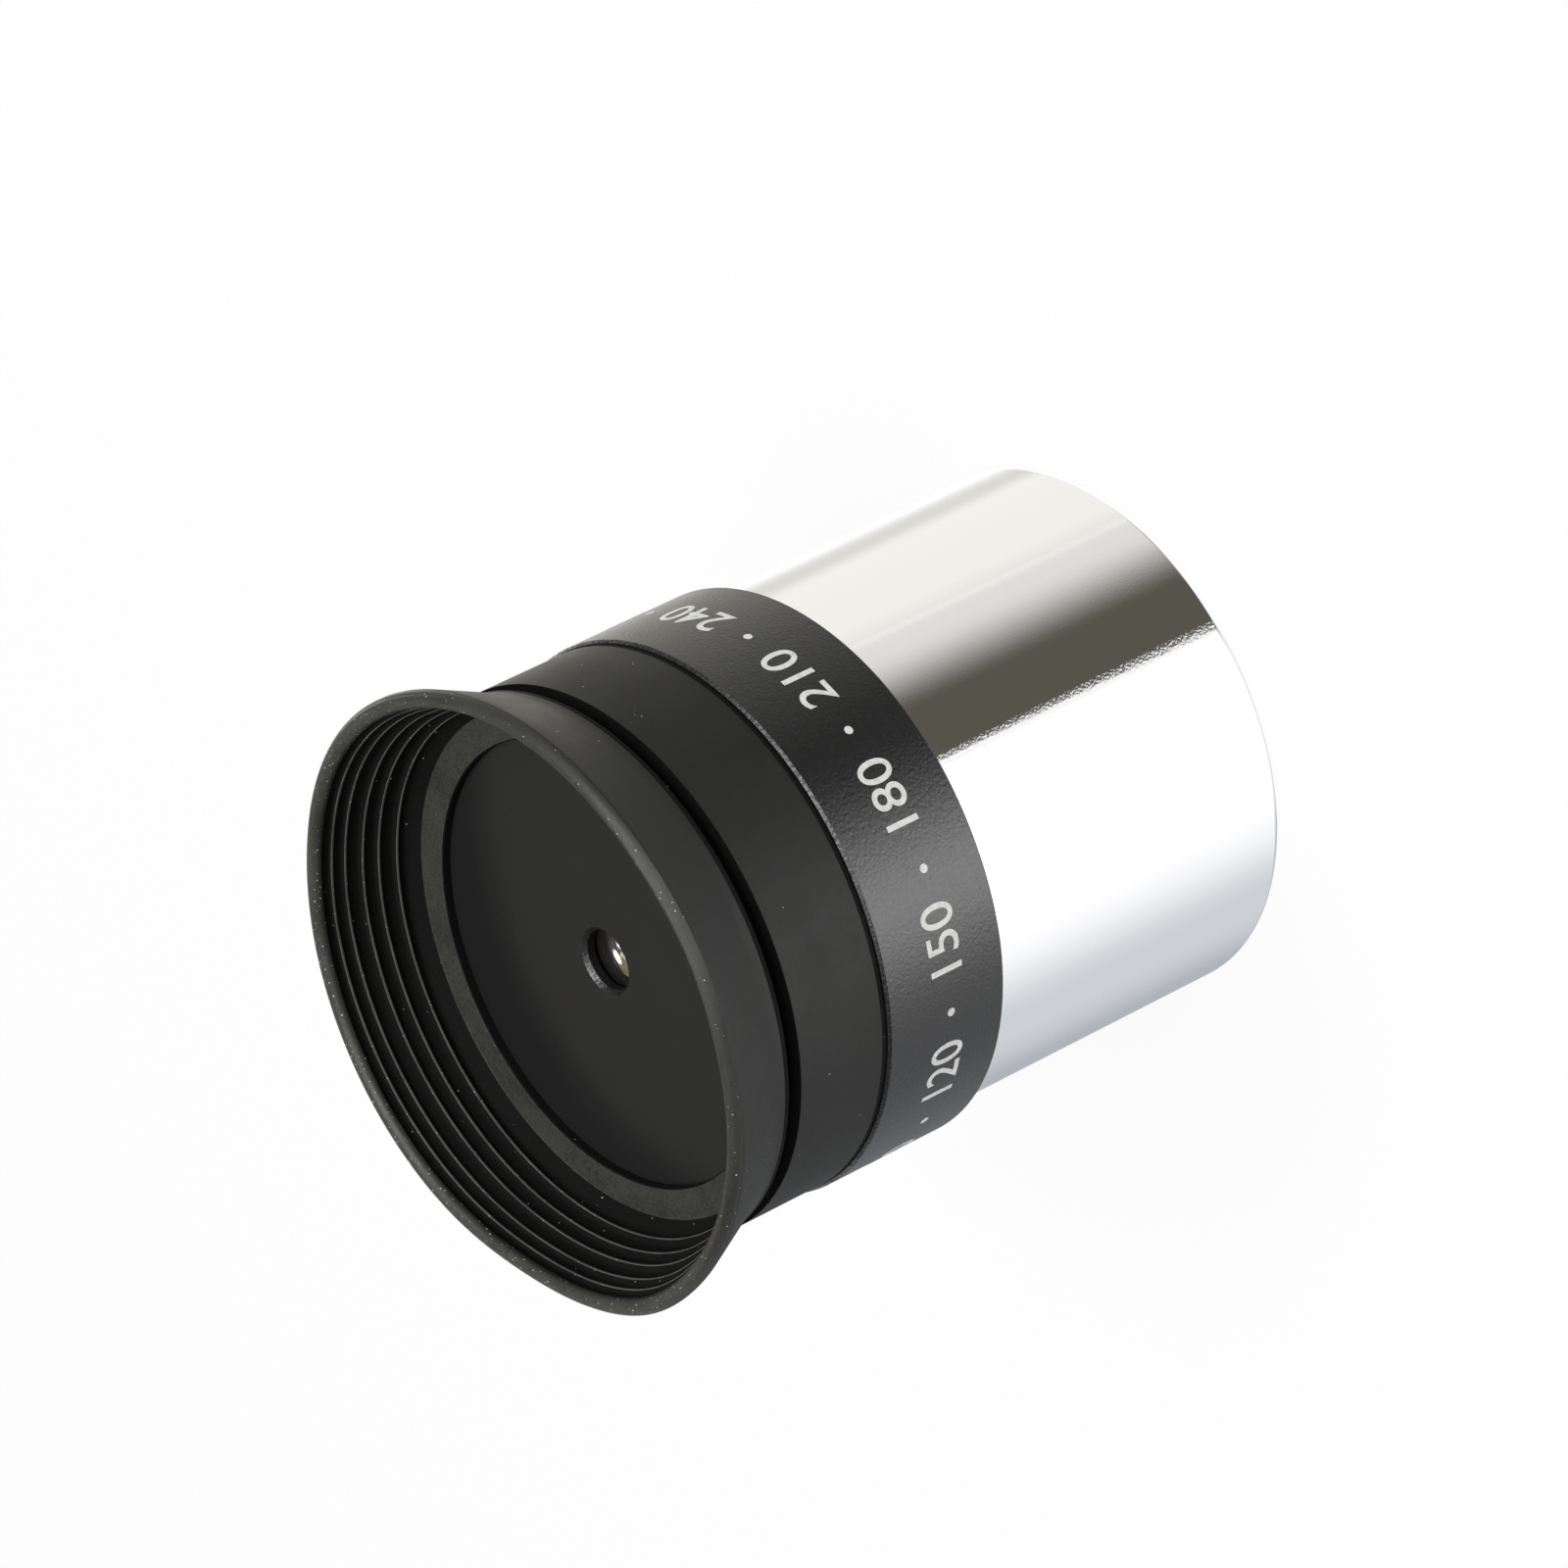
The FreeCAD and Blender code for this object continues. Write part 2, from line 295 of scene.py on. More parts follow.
# Black anodised, bead blasted: satin, with its grains drawn a little coarser, 0.2 mm, so that they show
blasted, tree, shader, place = surface("bead_blasted_black_anodised_aluminium")
pebble = 0.2
pebble_height = 0.028
shader.inputs["Base Color"].default_value = linear("#171718")
grain = node(tree, "TexNoise", {"Vector": place, "Scale": 1 / pebble, "Detail": 2.0, "Roughness": 0.45})
sheen = node(tree, "MapRange", {"Value": grain.outputs[0], "To Min": 0.3, "To Max": 0.42})
tree.links.new(sheen.outputs[0], shader.inputs["Roughness"])
pebbles = node(tree, "Bump", {"Height": grain.outputs[0], "Distance": pebble_height * MM})
tree.links.new(pebbles.outputs[0], shader.inputs["Normal"])

# Black anodised as turned: a smoother satin, with a trace of the tool's circles, drawn coarser than they
# are. A wave texture of scale 1 has its rings pi / 10 apart.
satin, tree, shader, place = surface("turned_black_anodised_aluminium")
tool_pitch = 0.2371
tool_depth = 0.0006
wave_spacing = math.pi / 10
cloud_size = 3.0
shader.inputs["Base Color"].default_value = linear("#0b0b0b")
shader.inputs["Specular IOR Level"].default_value = 0.34
cloud = node(tree, "TexNoise", {"Vector": place, "Scale": 1 / cloud_size, "Detail": 3.0})
sheen = node(tree, "MapRange", {"Value": cloud.outputs[0], "To Min": 0.5, "To Max": 0.58})
tree.links.new(sheen.outputs[0], shader.inputs["Roughness"])
circles = node(tree, "TexWave",
               {"Vector": place, "Scale": wave_spacing / tool_pitch, "Distortion": 0.3},
               wave_type="RINGS", rings_direction="Z")
marks = node(tree, "Bump", {"Height": circles.outputs[1], "Distance": tool_depth * MM})
tree.links.new(marks.outputs[0], shader.inputs["Normal"])

# The two chamfers are cut last with a fine tool and left glossy. The tool's chatter, drawn coarser than
# it is, makes them sparkle.
cut_edge, tree, shader, place = surface("gloss_cut_black_anodised_edge")
chatter = 0.2
chatter_height = 0.05
shader.inputs["Base Color"].default_value = linear("#1c1c1c")
facets = node(tree, "TexNoise", {"Vector": place, "Scale": 1 / chatter, "Detail": 2.0, "Roughness": 0.6})
scuffed = node(tree, "MapRange", {"Value": facets.outputs[0], "From Min": 0.35, "From Max": 0.65,
                                  "To Min": 0.1, "To Max": 0.55})
tree.links.new(scuffed.outputs[0], shader.inputs["Roughness"])
facet = node(tree, "Bump", {"Height": facets.outputs[0], "Distance": chatter_height * MM})
tree.links.new(facet.outputs[0], shader.inputs["Normal"])

BLASTED, SATIN, CUT = 0, 1, 2
body = [(recess_r, shoulder, edge_break, BLASTED), (ring_r - rear_chamfer, shoulder, edge_break, BLASTED),
        (ring_r, shoulder + rear_chamfer, edge_break, BLASTED),
        (ring_r, ring_front - front_chamfer, cut_break, CUT),
        (ring_r - front_chamfer, ring_front, cut_break, SATIN), (neck_r, ring_front, 0, SATIN),
        (neck_r, bead_z - bead_half, 0, SATIN),
        (neck_r - bead_depth, bead_z - bead_half + bead_depth, 0, SATIN),
        (neck_r - bead_depth, bead_z + bead_half - bead_depth, 0, SATIN),
        (neck_r, bead_z + bead_half, 0, SATIN), (neck_r, face - neck_chamfer, 0, SATIN),
        (neck_r - neck_chamfer, face, 0, SATIN), (hole_r + hole_chamfer, face, cut_break, CUT),
        (hole_r, face - hole_chamfer, cut_break, SATIN), (hole_r, face - eye_wall, edge_break, SATIN),
        (cell_r, face - eye_wall, 0, SATIN), (cell_r, flange_seat, edge_break, SATIN),
        (flange_r, flange_seat, 0, SATIN), (flange_r, recess_end, edge_break, SATIN),
        (recess_r, recess_end, 0, SATIN)]
housing = turned("housing_body", rounded(body), [blasted, satin, cut_edge])
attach(housing, "root")
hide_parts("housing")


# Printed scale: white ink screened round the ring, a plain dial of degrees with a number each 30 and a
# dot between. The ink is a thin layer on the anodised face, drawn a little thicker than it is.
numeral_height = 2.3
font_scale = 1.4
stroke_gain = 0.015
ink_thickness = 0.02
ink_sink = 0.004
print_z = 25.9
dot_r = 0.26
dot_corners = 20
number_step = 30
slice_width = 0.25
first_angle = 95.0
ink_patch = 0.35
weld = 0.0005

ink, tree, shader, place = surface("screened_white_ink")
shader.inputs["Roughness"].default_value = 0.55
patchy = node(tree, "TexNoise", {"Vector": place, "Scale": 1 / ink_patch, "Detail": 3.0})
tone = node(tree, "ValToRGB", {"Fac": patchy.outputs[0]},
            [(0.3, linear("#d2d2cd")), (0.6, linear("#e4e4e0"))])
tree.links.new(tone.outputs[0], shader.inputs["Base Color"])

scale = bmesh.new()
for angle in range(0, 360, number_step // 2):
    if angle % number_step == 0:
        writing = bpy.data.curves.new("numeral", "FONT")
        writing.body = str(angle)
        writing.size = numeral_height * font_scale
        writing.extrude = ink_thickness / 2
        writing.offset = stroke_gain
        writing.align_x = "CENTER"
        writing.align_y = "CENTER"
        stroke = bpy.data.objects.new("numeral", writing)
        flat = bpy.data.meshes.new_from_object(stroke)
        bpy.data.objects.remove(stroke)
    else:
        flat = bpy.data.meshes.new("dot")
        outline = bmesh.new()
        bmesh.ops.create_cone(outline, cap_ends=True, segments=dot_corners, radius1=dot_r, radius2=dot_r,
                              depth=ink_thickness)
        outline.to_mesh(flat)
        outline.free()
    # The mark is sliced upright, so that it can bend round the ring
    mark = bmesh.new()
    mark.from_mesh(flat)
    reach = max(abs(v.co.x) for v in mark.verts)
    for cut in range(-int(reach / slice_width), int(reach / slice_width) + 1):
        everything = mark.verts[:] + mark.edges[:] + mark.faces[:]
        bmesh.ops.bisect_plane(mark, geom=everything, plane_co=(cut * slice_width, 0, 0),
                               plane_no=(1, 0, 0))
    for vertex in mark.verts:
        turn = math.radians(first_angle + angle) + vertex.co.x / ring_r
        radius = ring_r + vertex.co.z + ink_thickness / 2 - ink_sink
        vertex.co = Vector((radius * math.cos(turn), radius * math.sin(turn), print_z + vertex.co.y)) * MM
    mark.to_mesh(flat)
    mark.free()
    scale.from_mesh(flat)
mesh = bpy.data.meshes.new("ring_scale")
bmesh.ops.remove_doubles(scale, verts=scale.verts, dist=weld * MM)
scale.to_mesh(mesh)
scale.free()
mesh.materials.append(ink)
dial = bpy.data.objects.new("ring_scale", mesh)
bpy.context.scene.collection.objects.link(dial)
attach(dial, "root")


# Eyecup: one black rubber moulding. Its sleeve is stretched over the neck, the groove lets the horn fold
# back, five fins stand inside the horn, and its flat lip lies on the housing's face. Handling has left
# the horn a little out of round, and dust sits on the lip and on the fins. The rubber is also painted
# lighter where it faces up and on the fins' tips as painted light, and near-black where shade falls.
rim_lowered = 0.155
cup_top = cup_high.z / MM - rim_lowered
neck_gap = 0.05
sleeve_inner = neck_r + neck_gap
sleeve_wall = 1.46
sleeve_r = sleeve_inner + sleeve_wall
sleeve_round = 0.36
# The sleeve's lowest band, next to the ring, is painted near-black over this height as painted shade
painted_shade_foot = 0.378
mouth_round = 0.05
mouth_up = 0.1
snap_half = 0.8
groove_z = 36.8
groove_depth = 1.0
groove_edge = 0.06
groove_corner = 0.1
groove_rise = 0.1
horn_foot = 37.6
foot_round = 0.3
foot_fall = 0.2
foot_top = 0.35
foot_lean = 0.01
flare_from = 0.4
flare_steps = 14
horn_flare = 1.57
flank_lean = math.radians(25)
rim_round = 0.52
rim_steps = 48
rim_edge_in, rim_edge_down = 0.17, 0.06
rim_edge_round = 0.06
floor_inset = 1.22
floor_r = sleeve_r - floor_inset
lip_thickness = 0.55
floor_z = face + lip_thickness
lip_width = 1.85
lip_round = 0.08
heel_round = 0.12
floor_round = 0.3
floor_corner = 0.1
bowl_out, bowl_up = 0.5, 0.45
fin_heights = (42.2, 41.45, 40.47, 39.58, 38.56)
fin_depth = 0.44
fin_width = 0.165
fin_root = 0.2
fin_undercut = 0.04
fin_root_round = 0.05
fin_tip_round = 0.04
tip_cone_r = 15.92
tip_cone_z = 38.6
tip_cone_slope = 0.3926

# Sizes of the rubber's bloom, of the mould's grain and of the dust, the last two drawn coarser than they
# are, and the stretch, from the camera's side to past the middle, over which a painted shade that thins
# the dust towards the camera ends
bloom_size = 4.0
mould_grain = 0.09
grain_height = 0.014
powder_size = 0.15
dust_spacing = 0.24
dust_radius = 0.036
dust_smallest, dust_largest = 0.3, 1.2
dust_tone = "#c4c1b8"
near_shade_from, near_shade_to = -12.0, 2.0
near_shade_leaves = 0.3


def rubber_skin(name, darkest, lightest, dust_and_light_tone, gloss, smoothest, roughest, grains):
    """A black rubber that is mottled between two tones. A film lies on what faces up, partly dust and
    partly painted light from above, and grains of dust on a share of it. Film and grains thin out towards
    the camera's side as painted shade."""
    made, tree, shader, place = surface(name)
    shader.inputs["IOR"].default_value = 1.5
    shader.inputs["Specular IOR Level"].default_value = gloss
    bloom = node(tree, "TexNoise", {"Vector": place, "Scale": 1 / bloom_size, "Detail": 6.0,
                                    "Roughness": 0.75})
    tone = node(tree, "ValToRGB", {"Fac": bloom.outputs[0]},
                [(0.35, linear(darkest)), (0.65, linear(lightest))])
    # What faces up is painted lighter: partly a film of dust, partly painted light from above
    facing = node(tree, "SeparateXYZ", {0: node(tree, "NewGeometry").outputs["True Normal"]})
    level = node(tree, "MapRange", {"Value": facing.outputs[2], "From Min": 0.2, "From Max": 1.0})
    thin = node(tree, "MapRange", {"Value": bloom.outputs[0], "From Min": 0.38, "From Max": 0.6,
                                   "To Min": 0.5})
    side = node(tree, "SeparateXYZ", {0: place})
    # Film and grains thin out towards the camera's side, which paints that side darker as shade
    near_side_shade = node(tree, "MapRange", {"Value": side.outputs[1], "From Min": near_shade_from,
                                    "From Max": near_shade_to, "To Min": near_shade_leaves})
    dust_and_light_film = node(tree, "Math", {0: level.outputs[0], 1: thin.outputs[0]}, operation="MULTIPLY")
    dust_and_light_film = node(tree, "Math", {0: dust_and_light_film.outputs[0], 1: near_side_shade.outputs[0]}, operation="MULTIPLY")
    powder = node(tree, "TexNoise", {"Vector": place, "Scale": 1 / powder_size, "Detail": 3.0,
                                     "Roughness": 0.6})
    speckled = node(tree, "MapRange", {"Value": powder.outputs[0], "From Min": 0.4, "From Max": 0.62,
                                       "To Min": 0.45, "To Max": 1.7})
    dust_and_light_film = node(tree, "Math", {0: dust_and_light_film.outputs[0], 1: speckled.outputs[0]}, operation="MULTIPLY")
    filmed = node(tree, "Mix", {"Factor": dust_and_light_film.outputs[0], "A": tone.outputs[0],
                                "B": linear(dust_and_light_tone)}, data_type="RGBA")
    cells = node(tree, "TexVoronoi", {"Vector": place, "Scale": 1 / dust_spacing})
    lot = node(tree, "SeparateColor", {0: cells.outputs["Color"]})
    size = node(tree, "MapRange", {"Value": lot.outputs[1],
                                   "To Min": dust_smallest * dust_radius / dust_spacing,
                                   "To Max": dust_largest * dust_radius / dust_spacing})
    near = node(tree, "Math", {0: cells.outputs["Distance"], 1: size.outputs[0]}, operation="LESS_THAN")
    share = node(tree, "Math", {0: near_side_shade.outputs[0], 1: grains}, operation="MULTIPLY")
    chosen = node(tree, "Math", {0: lot.outputs[0], 1: share.outputs[0]}, operation="LESS_THAN")
    dusty = node(tree, "Math", {0: near.outputs[0], 1: chosen.outputs[0]}, operation="MULTIPLY")
    dusted = node(tree, "Mix", {"Factor": dusty.outputs[0], "A": filmed.outputs["Result"],
                                "B": linear(dust_tone)}, data_type="RGBA")
    tree.links.new(dusted.outputs["Result"], shader.inputs["Base Color"])
    fine = node(tree, "TexNoise", {"Vector": place, "Scale": 1 / mould_grain, "Detail": 2.0})
    dull = node(tree, "MapRange", {"Value": bloom.outputs[0], "From Min": 0.35, "From Max": 0.65,
                                   "To Min": smoothest, "To Max": roughest})
    tree.links.new(dull.outputs[0], shader.inputs["Roughness"])
    skin = node(tree, "Bump", {"Height": fine.outputs[0], "Distance": grain_height * MM})
    tree.links.new(skin.outputs[0], shader.inputs["Normal"])
    return made


# The rubber as it came from the mould, glossier and dustier where hands rub the rim, grey on the fins'
# tips with dust and a painted highlight, and near-black and dull as painted shade in the gaps, the groove
# and the other hollows where shade falls
skins = [rubber_skin("moulded_black_rubber", "#121211", "#181816", "#31322d",
                     gloss=0.31, smoothest=0.62, roughest=0.7, grains=0.03),
         rubber_skin("black_rubber_rubbed_by_handling", "#161614", "#1f1f1c", "#383832",
                     gloss=0.4, smoothest=0.46, roughest=0.6, grains=0.8),
         rubber_skin("black_rubber_greyed_by_dust_and_painted_highlight", "#3e3d3b", "#5a5955", "#5a5955",
                     gloss=0.3, smoothest=0.7, roughest=0.8, grains=0.6),
         rubber_skin("black_rubber_painted_dark_as_shade", "#040404", "#070706", "#0c0c0b",
                     gloss=0.12, smoothest=0.8, roughest=0.9, grains=0.04)]
MOULDED, RUBBED, DUST_AND_HIGHLIGHT, SHADE_PAINTED = 0, 1, 2, 3

# The flare is an arc that leaves the sleeve along the axis and ends on the flank under the rim
rim_r = sleeve_r + horn_flare
rim_z = cup_top - rim_round
flank_end = (rim_r + rim_round * math.cos(flank_lean), rim_z - rim_round * math.sin(flank_lean))
rise = flank_end[1] - horn_foot
flare = (math.tan(flank_lean) * rise - (flank_end[0] - sleeve_r)) / (1 / math.cos(flank_lean) - 1)
# The sleeve's rounded foot, the groove and the horn's foot take the near-black rubber: painted shade
horn = rounded([(sleeve_inner, ring_front, mouth_round, SHADE_PAINTED),
                (sleeve_r, ring_front, sleeve_round, SHADE_PAINTED),
                (sleeve_r, ring_front + painted_shade_foot, 0, MOULDED),
                (sleeve_r, groove_z, groove_edge, SHADE_PAINTED),
                (sleeve_r - groove_depth, groove_z + groove_rise, groove_corner, SHADE_PAINTED),
                (sleeve_r - groove_depth, horn_foot - foot_fall, groove_corner, SHADE_PAINTED),
                (sleeve_r, horn_foot, foot_round, SHADE_PAINTED),
                (sleeve_r + foot_lean, horn_foot + foot_top, 0, MOULDED)])
for step in range(1, flare_steps + 1):
    turn = flank_lean * step / flare_steps
    height = horn_foot + flare * math.sin(turn)
    if height > horn_foot + flare_from:
        horn.append((sleeve_r + flare * (1 - math.cos(turn)), height, MOULDED))
for step in range(rim_steps + 1):
    turn = -flank_lean + (math.pi + flank_lean) * step / rim_steps
    coat = RUBBED if turn > 0 else MOULDED
    horn.append((rim_r + rim_round * math.cos(turn), rim_z + rim_round * math.sin(turn), coat))

# Inside, the horn runs down over the fins, whose tips lie on a cone, then in over the lip and down the
# sleeve, where a bead snaps into the neck's groove
# The fins' roots and faces above and below the tips, the bowl under the last fin and the lip's inner wall
# take the near-black rubber: painted shade
inside = [(rim_r - rim_edge_in, rim_z - rim_edge_down, rim_edge_round, SHADE_PAINTED)]
# Each fin's tip is painted grey, partly dust and partly a painted highlight where light catches it
for height in fin_heights:
    tip = tip_cone_r + tip_cone_slope * (height - tip_cone_z)
    inside += [(tip + fin_depth, height + fin_root / 2, fin_root_round, SHADE_PAINTED),
               (tip, height + fin_width / 2, fin_tip_round, DUST_AND_HIGHLIGHT),
               (tip, height - fin_width / 2, fin_tip_round, SHADE_PAINTED),
               (tip + fin_depth - fin_undercut, height - fin_root / 2, fin_root_round, SHADE_PAINTED)]
inside += [(floor_r + floor_round + bowl_out, floor_z + floor_round + bowl_up, floor_corner, SHADE_PAINTED),
           (floor_r + floor_round, floor_z + floor_round, floor_corner, SHADE_PAINTED),
           (floor_r, floor_z, heel_round, MOULDED),
           (floor_r - lip_width, floor_z, lip_round, SHADE_PAINTED), (floor_r - lip_width, face, 0, SHADE_PAINTED),
           (sleeve_inner, face, 0, SHADE_PAINTED), (sleeve_inner, bead_z + snap_half, 0, SHADE_PAINTED),
           (sleeve_inner - bead_depth, bead_z + snap_half - bead_depth, 0, SHADE_PAINTED),
           (sleeve_inner - bead_depth, bead_z - snap_half + bead_depth, 0, SHADE_PAINTED),
           (sleeve_inner, bead_z - snap_half, 0, SHADE_PAINTED)]
rim_end = horn[-1][:2] + (0, RUBBED)
mouth = (sleeve_inner, ring_front + mouth_up, 0, SHADE_PAINTED)
horn += rounded([rim_end] + inside + [mouth])[1:-1]

# Each dent is the angle of its middle, its width in degrees, and how far the rim moves out there
dents = [(95, 28, 0.25), (140, 17, -0.36), (45, 16, -0.12), (345, 24, -0.15), (175, 14, 0.22),
         (266, 13, 0.16)]
dent_fade = 1.5
crease_depth = 0.07
crease_width = 0.16
crease_at = math.radians(38)
worn_middle = 268
worn_width = 34
worn_share = 0.85


def out_of_round(radius, height, turn):
    """The horn after handling: the dents fade away towards its foot, a crease runs round the rim, and the
    rim's outer edge is worn flat on one side."""
    if height <= horn_foot:
        return radius, height
    share = ((height - horn_foot) / (cup_top - horn_foot)) ** dent_fade
    moved = 0
    for middle, width, amount in dents:
        away = (math.degrees(turn) - middle + 180) % 360 - 180
        moved += amount * math.exp(-(away / width) ** 2)
    across, rise = radius - rim_r, height - rim_z
    if rise > 0:
        away = (math.atan2(rise, across) - crease_at) / crease_width
        sunk = crease_depth * math.exp(-away ** 2) * (0.5 + 0.5 * math.sin(turn))
        if across > 0:
            away = (math.degrees(turn) - worn_middle + 180) % 360 - 180
            flat = rim_round - rim_round ** 2 / (across + rise)
            sunk += worn_share * flat * math.exp(-(away / worn_width) ** 2)
        radius -= sunk * across / rim_round
        height -= sunk * rise / rim_round
    return radius + moved * share, height


eyecup = turned("rubber_eyecup", horn, skins, out_of_round)
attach(eyecup, "root")
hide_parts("eyecup")


# Glass: two cemented doublets, each of a flint and a crown lens that share their inner curve, so a pair
# is one piece of glass to the light, with polished curves and a blackened edge.
lens_r = 2.5
clear_r = 2.2
outer_curve = 12.0
inner_curve = 3.6
outer_steps = 12
inner_steps = 18
eye_raised = 0.25
eye_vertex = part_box("eye_flint_lens")[1].z / MM + eye_raised
eye_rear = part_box("eye_crown_lens")[0].z / MM + eye_raised
field_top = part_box("field_crown_lens")[1].z / MM
field_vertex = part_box("field_flint_lens")[0].z / MM
grinding = 0.12

# Polished crown and flint glass, a little warm from the coating on its outer face. Its IOR lies between
# the two kinds', and the trace that it doesn't let through stands for the dust on it.
polished, _, shader, _ = surface("polished_optical_glass")
shader.inputs["Base Color"].default_value = linear("#f4ede2")
shader.inputs["Roughness"].default_value = 0.0
shader.inputs["IOR"].default_value = 1.6
shader.inputs["Transmission Weight"].default_value = 0.988

# Ground glass edge, painted black against stray light
ground, tree, shader, place = surface("blackened_ground_glass_edge")
shader.inputs["Base Color"].default_value = linear("#141414")
grinds = node(tree, "TexNoise", {"Vector": place, "Scale": 1 / grinding, "Detail": 2.0})
matt = node(tree, "MapRange", {"Value": grinds.outputs[0], "To Min": 0.5, "To Max": 0.7})
tree.links.new(matt.outputs[0], shader.inputs["Roughness"])


def doublet(name, outer_z, inner_z, side, nodes):
    """A cemented pair. side is 1 where its gentle outer curve faces the eye, else -1."""
    curve = []
    for step in range(outer_steps + 1):
        radius = clear_r * step / outer_steps
        drop = outer_curve - math.sqrt(outer_curve ** 2 - radius ** 2)
        curve.append((radius, outer_z - side * drop, 0))
    seat = curve[-1][1]
    inner_seat = inner_z + side * (inner_curve - math.sqrt(inner_curve ** 2 - clear_r ** 2))
    curve[-1] = (clear_r, seat, 1)
    curve += [(lens_r, seat, 1), (lens_r, inner_seat, 1), (clear_r, inner_seat, 0)]
    for step in range(1, inner_steps + 1):
        radius = clear_r * (1 - step / inner_steps)
        rise = inner_curve - math.sqrt(inner_curve ** 2 - radius ** 2)
        curve.append((radius, inner_z + side * rise, 0))
    made = turned(name, curve, [polished, ground], closed=False)
    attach(made, "root")
    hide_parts(*nodes)


doublet("eye_doublet", eye_vertex, eye_rear, 1, ["eye_flint_lens", "eye_crown_lens"])
doublet("field_doublet", field_vertex, field_top, -1, ["field_crown_lens", "field_flint_lens"])


# Lens cell, spacer, retainer, field stop and lock ring: small turned aluminium parts, blasted and
# anodised matt black so that they don't glare. They keep the shapes that they were cut to, and their
# trace of turning is drawn coarser than it is.
matt_black, tree, shader, place = surface("matt_black_anodised_aluminium")
blast_grain = 0.1
turning_pitch = 0.494
turning_depth = 0.002
dots = node(tree, "TexNoise", {"Vector": place, "Scale": 1 / blast_grain, "Detail": 2.0})
tone = node(tree, "ValToRGB", {"Fac": dots.outputs[0]},
            [(0.3, linear("#151515")), (0.7, linear("#1c1c1c"))])
tree.links.new(tone.outputs[0], shader.inputs["Base Color"])
dull = node(tree, "MapRange", {"Value": dots.outputs[0], "To Min": 0.45, "To Max": 0.6})
tree.links.new(dull.outputs[0], shader.inputs["Roughness"])
rings = node(tree, "TexWave",
             {"Vector": place, "Scale": wave_spacing / turning_pitch, "Distortion": 0.2},
             wave_type="RINGS", rings_direction="Z")
cut = node(tree, "Bump", {"Height": rings.outputs[1], "Distance": turning_depth * MM})
tree.links.new(cut.outputs[0], shader.inputs["Normal"])
for name in ("lens_cell", "lens_spacer", "lens_retainer", "field_stop", "cell_lock_ring"):
    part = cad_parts[name]
    part.data.materials.clear()
    part.data.materials.append(matt_black)


# Camera: a long lens 565 mm away, 33.65 degrees above the table and rolled, so that the eyepiece lies
# across the frame as in the photograph. The place is that of the nose's centre seen from the camera.
elevation = math.radians(33.65)
roll = math.radians(-115.66)
nose_seen_at = Vector((17.616, 3.378, -565.184))
focal_pixels = 10000
frame_pixels = 1600
lens_data = bpy.data.cameras.new("camera")
lens_data.sensor_width = 36.0
lens_data.lens = focal_pixels * lens_data.sensor_width / frame_pixels
lens_data.clip_start = 0.01
lens_data.clip_end = 20.0
camera = bpy.data.objects.new("camera", lens_data)
bpy.context.scene.collection.objects.link(camera)
back = Vector((0, -math.cos(elevation), math.sin(elevation)))
level_up = Vector((0, math.sin(elevation), math.cos(elevation)))
right = Vector((math.cos(roll), 0, 0)) + level_up * math.sin(roll)
up = Vector((-math.sin(roll), 0, 0)) + level_up * math.cos(roll)
place_of_eye = -(right * nose_seen_at.x + up * nose_seen_at.y + back * nose_seen_at.z) * MM
for column, axis in enumerate((right, up, back, place_of_eye)):
    for row in range(3):
        camera.matrix_world[row][column] = axis[row]
bpy.context.scene.camera = camera


# Table and room: a white table that keeps the shadow, in a white room. Reflections look through the table
# at the cards below it, as the photograph's chrome mirrors no table.
table_half = 2.0
shadow_share = 0.08
bounce_level = 0.6

bpy.context.scene.view_settings.view_transform = "Standard"
world = bpy.data.worlds.new("white_room")
bpy.context.scene.world = world
world.use_nodes = True
tree = world.node_tree
rays = node(tree, "LightPath").outputs
seen = node(tree, "Math", {0: rays["Is Camera Ray"], 1: rays["Is Glossy Ray"]}, operation="ADD")
seen = node(tree, "Math", {0: seen.outputs[0], 1: rays["Is Transmission Ray"]}, operation="ADD",
            use_clamp=True)
strength = node(tree, "MapRange", {"Value": seen.outputs[0], "To Min": bounce_level, "To Max": 1.0})
tree.links.new(strength.outputs[0], tree.nodes["Background"].inputs["Strength"])
tree.nodes["Background"].inputs["Color"].default_value = linear("#ffffff")

# The cards only shine, each with the brightness that its mesh carries in its colours
shining = bpy.data.materials.new("reflected_card")
shining.use_nodes = True
tree = shining.node_tree
tree.nodes.remove(tree.nodes["Principled BSDF"])
carried = node(tree, "Attribute", attribute_name="brightness").outputs["Color"]
shine = node(tree, "Emission", {"Color": carried})
tree.links.new(shine.outputs[0], tree.nodes["Material Output"].inputs["Surface"])
aim_point = (0, 0, 0.03)


def card(name, columns, rows, place_of, colour_of):
    """A curved card that shows only in reflections: place_of and colour_of give a grid's points, each
    from its column and row as shares from 0 to 1."""
    grid = [(c / columns, r / rows) for c in range(columns + 1) for r in range(rows + 1)]
    line = rows + 1
    faces = [(c * line + r, (c + 1) * line + r, (c + 1) * line + r + 1, c * line + r + 1)
             for c in range(columns) for r in range(rows)]
    data = bpy.data.meshes.new(name)
    data.from_pydata([place_of(*spot) for spot in grid], [], faces)
    levels = data.color_attributes.new("brightness", "FLOAT_COLOR", "POINT")
    for number, spot in enumerate(grid):
        levels.data[number].color = tuple(colour_of(*spot)) + (1,)
    data.materials.append(shining)
    made = bpy.data.objects.new(name, data)
    bpy.context.scene.collection.objects.link(made)
    made.visible_camera = False
    made.visible_diffuse = False
    made.visible_shadow = False
    made.visible_transmission = False


